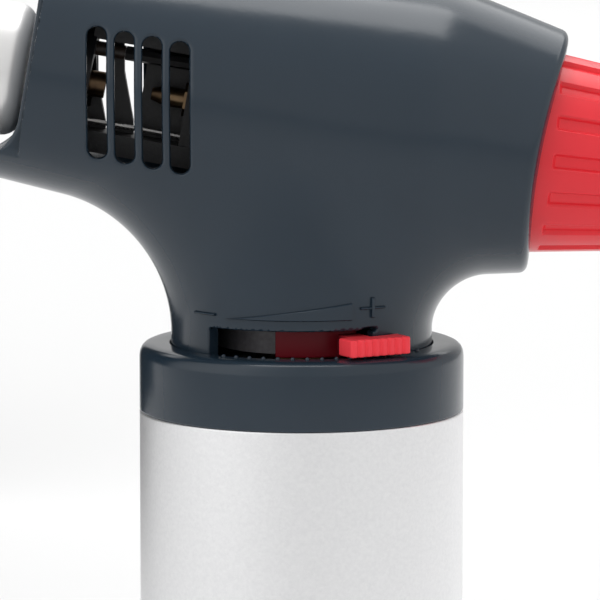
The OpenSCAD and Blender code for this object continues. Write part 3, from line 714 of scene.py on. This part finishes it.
def trigger():
    """Tapered push button with 16 lengthwise grooves, and the skirt and flange that stay in the head."""
    lean = math.radians(3.5)
    taper = math.tan(math.radians(7.2))
    grip = TRIGGER_END - RIM_REAR
    small = TRIGGER_R - grip * taper
    stretches = [(-2.4, -0.2, 6), (0, 1.4, 12), (2, grip - 3, 12)]
    heights = np.concatenate([np.linspace(*stretch) for stretch in stretches])
    outline = [(TRIGGER_R - 0.05 - g * taper, g, 0) for g in heights]
    outline += [(small - 1.7 + 1.9 * math.cos(a), grip - 2.6 + 1.6 * math.sin(a), 0)
                for a in np.linspace(0.1, math.pi / 2, 12)]
    outline += [(small * f, grip - 0.4 - 0.6 * f * f, 0) for f in (0.8, 0.6, 0.4, 0.2, 0.001)]
    outline += [(0.001, grip - 3.2, 0), (small - 2, grip - 3.2, 0), (TRIGGER_R - 2.0, -2.4, 0)]
    shape = np.array([p[:2] for p in outline])
    n, steps = len(shape), 16 * 28
    turn = np.arange(steps) * 2 * math.pi / steps
    across = ((turn / math.radians(22.5) + 0.5) % 1 - 0.5) * math.radians(22.5) * 14.2
    wall = np.clip((0.95 - np.abs(across)) / 0.28 + 0.5, 0, 1)
    wall = wall * wall * (3 - 2 * wall)
    start = np.clip((shape[:, 1] - GROOVE_START) / 0.35 + 0.5, 0, 1)
    start = start * start * (3 - 2 * start)
    floor = TRIGGER_R - 0.70 - shape[:, 1] * taper
    depth = np.maximum(shape[:, 0] - floor, 0) * start
    depth[shape[:, 1] > grip - 0.9] = 0
    depth[-3:] = 0
    r = shape[None, :, 0] - wall[:, None] * depth[None]
    x, y = r * np.cos(turn)[:, None], r * np.sin(turn)[:, None]
    z = np.broadcast_to(shape[:, 1], r.shape)
    s = RIM_REAR + z * math.cos(lean) + x * math.sin(lean)
    up = z * math.sin(lean) - x * math.cos(lean)
    points = np.stack([s * COS + up * SIN, y, BARREL_Z - s * SIN + up * COS], 2).reshape(-1, 3)
    faces = [(i * n + k, (i + 1) % steps * n + k, (i + 1) % steps * n + (k + 1) % n, i * n + (k + 1) % n)
             for i in range(steps) for k in range(n)]
    grip_part = make_mesh("trigger_grip", points, faces)
    fix_normals(grip_part)
    stand_for(grip_part, "trigger_button")
    inner = TRIGGER_R - 1.8
    flange = TRIGGER_R + 1.2
    skirt = [(inner, 30), (TRIGGER_R, 30), (TRIGGER_R, 31.3, 0), (flange, 31.3), (flange, 33.5),
             (TRIGGER_R, 33.5, 0), (TRIGGER_R, 37.2), (inner, 37.2)]
    stand_for(lathe("trigger_skirt", skirt, 0.2, along=0), "trigger_button")


def ramp_arm():
    """The trigger's arm under the igniter, whose sloping face presses the rocker."""
    top = NECK_Z + 14.5
    outline = [(14.5, top + 1.9), (23, top - 0.83), (31, top + 0.6), (33.5, top + 3.4),
               (23, top + 3.5), (14.5, top + 4.4)]
    shape = rounded(outline, 0.35)
    n = len(shape)
    points = [(x, y, z) for y in (-2.5, 2.5) for x, z in shape]
    faces = [(k, (k + 1) % n, n + (k + 1) % n, n + k) for k in range(n)]
    faces += [tuple(range(n))[::-1], tuple(range(n, 2 * n))]
    obj = make_mesh("trigger_arm", points, faces)
    fix_normals(obj)
    stand_for(obj, "trigger_button")


def lever():
    """Flame lever: hub, arm, curved skirt behind the slot and a ribbed tab outside it."""
    low, top = NECK_Z + 0.45, NECK_Z + 3.1

    def turned(x, y, degrees):
        a = math.radians(degrees)
        return x * math.sin(a) - y * math.cos(a), x * math.cos(a) + y * math.sin(a)

    def field(x, y, z):
        m = np.hypot(x, y)
        angle = np.degrees(np.arctan2(x, -y))
        height = np.abs(z - (low + top) / 2) - (top - low) / 2
        hub = round_max(np.maximum(m - 9.6, 7.15 - m), height, 0.15)
        out, across = turned(x, y, 25.5)
        arm = round_max(np.maximum(np.abs(out - 14.5) - 6.5, np.abs(across) - 1.7), height, 0.15)
        skirt_top = NECK_Z + 3.85
        band = np.maximum(m - 16.4, 14.9 - m)
        sweep_side = (np.abs(angle - 8.25) - 22.25) * math.radians(1) * 16
        skirt = round_max(np.maximum(band, sweep_side), np.maximum(z - skirt_top, NECK_Z - 0.4 - z), 0.2)
        out, across = turned(x, y, 30.5)
        rib = 0.30 * (0.5 + 0.5 * np.cos(across / 1.3 * 2 * math.pi)) ** 2
        rib = rib * (np.abs(across) < 4.6)
        tab = round_max(np.abs(across) - 5.2, out - 23.6 + rib, 0.45)
        tab = round_max(tab, height, 0.3)
        tab = round_max(tab, NECK_R + 0.35 - m, 0.1)
        return np.minimum(np.minimum(hub, arm), np.minimum(skirt, tab))

    surface = iso_surface("lever", field, (-11, -25, low - 1.3), (20, 11, top + 1.2), 0.16)
    obj = stand_for(surface, "flame_lever")
    # The lever's material carries painted shade on the skirt inside the slot.
    obj.data.materials[0] = LEVER_RED_SLOT_SHADE


def springs():
    """Coil springs, swept along helices."""

    def squash_coil(obj):
        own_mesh(obj)

    def upright_coil(name, node, radius, wire, turns):
        """Its upper end is the fixed one."""
        low, high = node_z(node)
        path = helix(low + wire, high - wire, radius, turns)
        obj = stand_for(sweep(name, path, wire, 10), node)
        squash_coil(obj)

    upright_coil("valve_coil", "valve_spring", 2.5, 0.35, 10)
    upright_coil("refill_coil", "refill_spring", 2.0, 0.25, 6)
    wire, fixed, free = 0.4, 10.2, 21.8
    path = to_barrel(helix(fixed + wire, free - wire, 2.75, 8))
    obj = stand_for(sweep("piezo_coil", path, wire, 10), "piezo_spring")
    squash_coil(obj)


head_shells()
marks()
tank_and_foot()
collar()
burner()
trigger()
ramp_arm()
lever()
springs()


# ---------------------------------------------------------------- floor, light and camera

def stage():
    bpy.ops.mesh.primitive_plane_add(size=30, location=(0, 0, -0.0002))
    floor = bpy.context.object
    floor.name = "floor"
    p = Paint("pale_floor_painted_shade", Base_Color=(0.74, 0.74, 0.74), Roughness=0.9)
    # Painted shade: the floor's colour darkens from behind the torch (y 0.3 m) to in front of it (y -0.1 m),
    # for less light on the camera's side.
    split = p.nodes.new("ShaderNodeSeparateXYZ")
    p.links.new(p.place, split.inputs[0])
    depth = p.nodes.new("ShaderNodeMapRange")
    p.links.new(split.outputs["Y"], depth.inputs["Value"])
    depth.inputs["From Min"].default_value = -0.1
    depth.inputs["From Max"].default_value = 0.3
    stops = [(0.0, (0.64, 0.64, 0.64)), (1.0, (0.74, 0.74, 0.74))]
    p.link(p.ramp(depth.outputs["Result"], stops), "Base Color")
    floor.data.materials.append(p.material)


def black_card():
    """A card standing on the floor behind and to the left, which darkens the edges of shiny round pieces."""
    bpy.ops.mesh.primitive_cube_add(size=1, location=(-0.345, 0.42, 0.2))
    card = bpy.context.object
    card.name = "black_card"
    card.scale = (0.42, 0.004, 0.4)
    card.data.materials.append(Paint("card_black", Base_Color=(0.01, 0.01, 0.01), Roughness=0.9).material)


def softbox(name, place, target, size, power):
    light = bpy.data.lights.new(name, "AREA")
    light.shape = "RECTANGLE"
    light.size, light.size_y = size
    light.energy = power
    obj = bpy.data.objects.new(name, light)
    obj.location = place
    obj.rotation_euler = (Vector(target) - Vector(place)).to_track_quat("-Z", "Y").to_euler()
    bpy.context.scene.collection.objects.link(obj)


def lighting():
    """A tent, darker behind to the left, with one bank overhead and one over the far floor."""
    softbox("top_bank", (0, 0.2, 1.3), (0, 0, 0.12), (0.9, 0.7), 7)
    softbox("back_bank", (0, 2.5, 2.2), (0, 2.5, 0), (4.5, 3.4), 68)
    world_data = bpy.data.worlds.new("tent")
    bpy.context.scene.world = world_data
    world_data.use_nodes = True
    tree = world_data.node_tree
    direction = tree.nodes.new("ShaderNodeTexCoord")
    split = tree.nodes.new("ShaderNodeSeparateXYZ")
    tree.links.new(direction.outputs["Generated"], split.inputs[0])
    turn = tree.nodes.new("ShaderNodeMath")
    turn.operation = "ARCTAN2"
    tree.links.new(split.outputs["X"], turn.inputs[0])
    back = tree.nodes.new("ShaderNodeMath")
    back.operation = "MULTIPLY"
    back.inputs[1].default_value = -1.0
    tree.links.new(split.outputs["Y"], back.inputs[0])
    tree.links.new(back.outputs[0], turn.inputs[1])
    place = tree.nodes.new("ShaderNodeMapRange")
    place.inputs["From Min"].default_value = -math.pi
    place.inputs["From Max"].default_value = math.pi
    tree.links.new(turn.outputs[0], place.inputs["Value"])
    ramp = tree.nodes.new("ShaderNodeValToRGB")
    tree.links.new(place.outputs["Result"], ramp.inputs["Fac"])
    elements = ramp.color_ramp.elements
    while len(elements) < len(TENT):
        elements.new(0.5)
    for element, (degrees, level) in zip(elements, TENT):
        element.position = (degrees + 180) / 360
        element.color = (level, level, level, 1)
    tree.links.new(ramp.outputs["Color"], tree.nodes["Background"].inputs["Color"])
    tree.nodes["Background"].inputs["Strength"].default_value = TENT_STRENGTH


def camera():
    focus = Vector((-0.00023, 0, 0.10875))
    distance, pitch = 0.625, math.radians(7.2)
    data = bpy.data.cameras.new("camera")
    data.sensor_width = 36
    data.lens = 36 * (distance / 0.0001541) / 600
    data.clip_start, data.clip_end = 0.05, 60
    obj = bpy.data.objects.new("camera", data)
    obj.location = focus + distance * Vector((0, -math.cos(pitch), math.sin(pitch)))
    obj.rotation_euler = (math.pi / 2 - pitch, 0, 0)
    bpy.context.scene.collection.objects.link(obj)
    bpy.context.scene.camera = obj


stage()
black_card()
lighting()
camera()
bpy.context.scene.view_settings.view_transform = "Standard"
